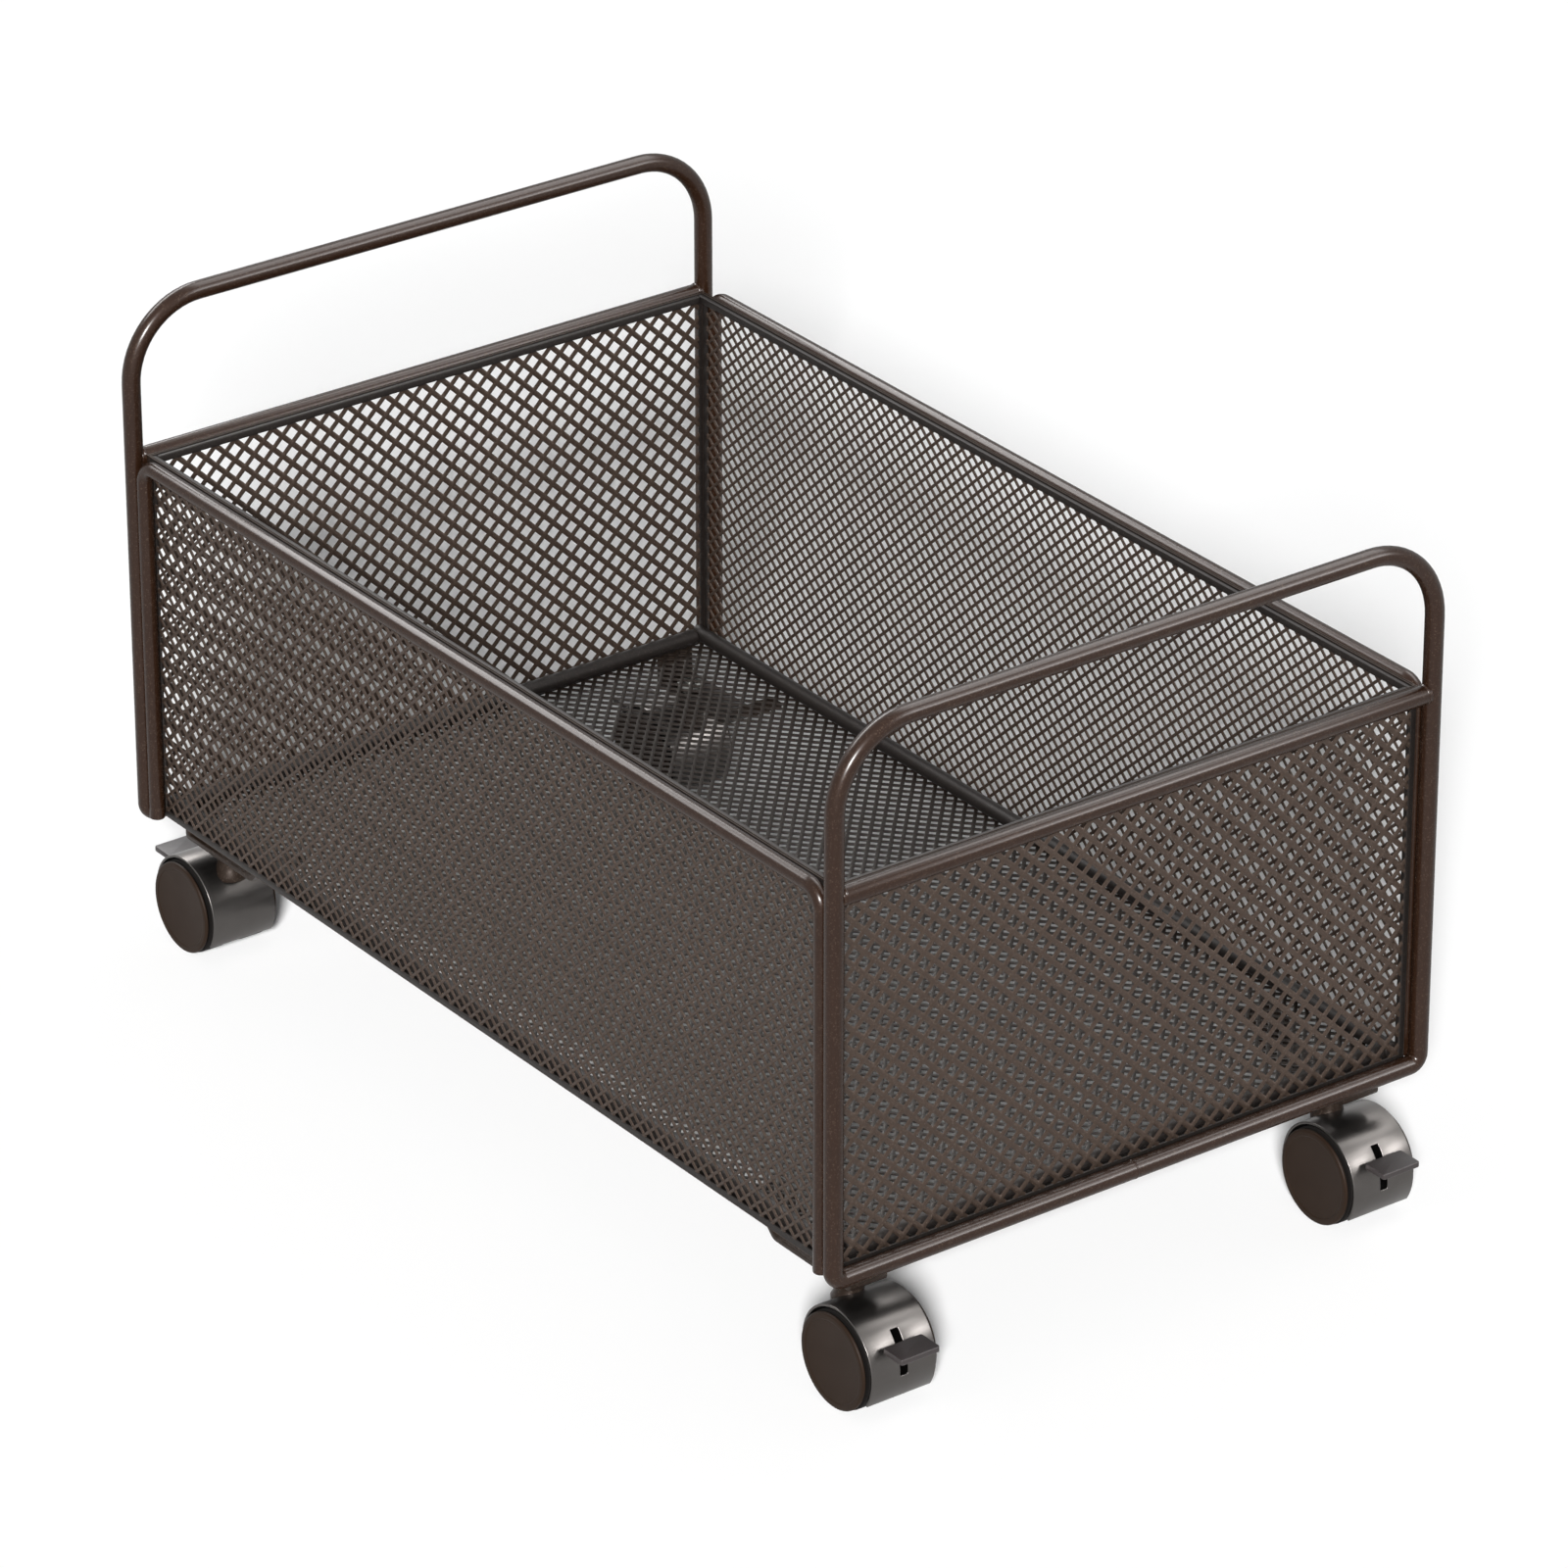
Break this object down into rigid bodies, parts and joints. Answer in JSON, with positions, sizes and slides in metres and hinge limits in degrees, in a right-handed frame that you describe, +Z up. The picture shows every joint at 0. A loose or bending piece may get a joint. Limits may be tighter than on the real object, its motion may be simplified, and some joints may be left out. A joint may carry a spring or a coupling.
{
  "type": "mobile file cart",
  "caption": "Low rolling file cart: open mesh basket in a bent steel rod frame with a handle loop at each end, on hooded twin-wheel swivel casters with brake tabs.",
  "frame": {"origin": "on the floor, under the middle of the basket", "axes": "+X towards the front end along the cart's length, +Y towards the left side, +Z up"},
  "size_m": [0.4366, 0.2466, 0.2476],
  "materials": {
    "rod_paint": "satin dark bronze paint",
    "mesh_paint": "satin dark bronze paint on expanded mesh",
    "bar_paint": "satin black-brown paint",
    "plate_paint": "satin dark bronze paint",
    "zinc_steel": "zinc plated",
    "hood_metal": "satin grey metal",
    "wheel_plastic": "matte dark brown",
    "lever_plastic": "matte dark grey"
  },
  "bodies": {
    "cart": {"end_frame_front": "rod_paint", "end_frame_rear": "rod_paint", "end_crossbar_front": "rod_paint", "end_crossbar_rear": "rod_paint", "side_frame_left": "rod_paint", "side_frame_right": "rod_paint", "rim_strip_left": "bar_paint", "rim_strip_right": "bar_paint", "rim_strip_front": "bar_paint", "rim_strip_rear": "bar_paint", "floor_rail_left": "bar_paint", "floor_rail_right": "bar_paint", "floor_rail_front": "bar_paint", "floor_rail_rear": "bar_paint", "mesh_floor": "mesh_paint", "mesh_side_left": "mesh_paint", "mesh_side_right": "mesh_paint", "mesh_end_front": "mesh_paint", "mesh_end_rear": "mesh_paint", "caster_plate_fl": "plate_paint", "caster_stem_fl": "zinc_steel", "stem_nut_fl": "zinc_steel", "caster_plate_fr": "plate_paint", "caster_stem_fr": "zinc_steel", "stem_nut_fr": "zinc_steel", "caster_plate_rl": "plate_paint", "caster_stem_rl": "zinc_steel", "stem_nut_rl": "zinc_steel", "caster_plate_rr": "plate_paint", "caster_stem_rr": "zinc_steel", "stem_nut_rr": "zinc_steel"},
    "caster_fl": {"caster_hood_fl": "hood_metal", "caster_axle_fl": "zinc_steel", "brake_pin_fl": "zinc_steel"},
    "wheel_a_fl": {"wheel_a_fl": "wheel_plastic"},
    "wheel_b_fl": {"wheel_b_fl": "wheel_plastic"},
    "brake_fl": {"brake_lever_fl": "lever_plastic"},
    "caster_fr": {"caster_hood_fr": "hood_metal", "caster_axle_fr": "zinc_steel", "brake_pin_fr": "zinc_steel"},
    "wheel_a_fr": {"wheel_a_fr": "wheel_plastic"},
    "wheel_b_fr": {"wheel_b_fr": "wheel_plastic"},
    "brake_fr": {"brake_lever_fr": "lever_plastic"},
    "caster_rl": {"caster_hood_rl": "hood_metal", "caster_axle_rl": "zinc_steel", "brake_pin_rl": "zinc_steel"},
    "wheel_a_rl": {"wheel_a_rl": "wheel_plastic"},
    "wheel_b_rl": {"wheel_b_rl": "wheel_plastic"},
    "brake_rl": {"brake_lever_rl": "lever_plastic"},
    "caster_rr": {"caster_hood_rr": "hood_metal", "caster_axle_rr": "zinc_steel", "brake_pin_rr": "zinc_steel"},
    "wheel_a_rr": {"wheel_a_rr": "wheel_plastic"},
    "wheel_b_rr": {"wheel_b_rr": "wheel_plastic"},
    "brake_rr": {"brake_lever_rr": "lever_plastic"}
  },
  "joints": [
    {"name": "swivel_fl", "type": "hinge", "parent": "cart", "child": "caster_fl", "pos_m": [0.1805, 0.099, 0.0404], "axis": [0, 0, 1], "continuous": true},
    {"name": "wheel_a_spin_fl", "type": "hinge", "parent": "caster_fl", "child": "wheel_a_fl", "pos_m": [0.191, 0.099, 0.017], "axis": [0, 1, 0], "continuous": true},
    {"name": "wheel_b_spin_fl", "type": "hinge", "parent": "caster_fl", "child": "wheel_b_fl", "pos_m": [0.191, 0.099, 0.017], "axis": [0, 1, 0], "continuous": true},
    {"name": "brake_press_fl", "type": "hinge", "parent": "caster_fl", "child": "brake_fl", "pos_m": [0.1985, 0.099, 0.019], "axis": [0, 1, 0], "range_deg": [0, 20]},
    {"name": "swivel_fr", "type": "hinge", "parent": "cart", "child": "caster_fr", "pos_m": [0.1805, -0.099, 0.0404], "axis": [0, 0, 1], "continuous": true},
    {"name": "wheel_a_spin_fr", "type": "hinge", "parent": "caster_fr", "child": "wheel_a_fr", "pos_m": [0.191, -0.099, 0.017], "axis": [0, 1, 0], "continuous": true},
    {"name": "wheel_b_spin_fr", "type": "hinge", "parent": "caster_fr", "child": "wheel_b_fr", "pos_m": [0.191, -0.099, 0.017], "axis": [0, 1, 0], "continuous": true},
    {"name": "brake_press_fr", "type": "hinge", "parent": "caster_fr", "child": "brake_fr", "pos_m": [0.1985, -0.099, 0.019], "axis": [0, 1, 0], "range_deg": [0, 20]},
    {"name": "swivel_rl", "type": "hinge", "parent": "cart", "child": "caster_rl", "pos_m": [-0.1805, 0.099, 0.0404], "axis": [0, 0, 1], "continuous": true},
    {"name": "wheel_a_spin_rl", "type": "hinge", "parent": "caster_rl", "child": "wheel_a_rl", "pos_m": [-0.191, 0.099, 0.017], "axis": [0, 1, 0], "continuous": true},
    {"name": "wheel_b_spin_rl", "type": "hinge", "parent": "caster_rl", "child": "wheel_b_rl", "pos_m": [-0.191, 0.099, 0.017], "axis": [0, 1, 0], "continuous": true},
    {"name": "brake_press_rl", "type": "hinge", "parent": "caster_rl", "child": "brake_rl", "pos_m": [-0.1985, 0.099, 0.019], "axis": [0, -1, 0], "range_deg": [0, 20]},
    {"name": "swivel_rr", "type": "hinge", "parent": "cart", "child": "caster_rr", "pos_m": [-0.1805, -0.099, 0.0404], "axis": [0, 0, 1], "continuous": true},
    {"name": "wheel_a_spin_rr", "type": "hinge", "parent": "caster_rr", "child": "wheel_a_rr", "pos_m": [-0.191, -0.099, 0.017], "axis": [0, 1, 0], "continuous": true},
    {"name": "wheel_b_spin_rr", "type": "hinge", "parent": "caster_rr", "child": "wheel_b_rr", "pos_m": [-0.191, -0.099, 0.017], "axis": [0, 1, 0], "continuous": true},
    {"name": "brake_press_rr", "type": "hinge", "parent": "caster_rr", "child": "brake_rr", "pos_m": [-0.1985, -0.099, 0.019], "axis": [0, -1, 0], "range_deg": [0, 20]}
  ]
}
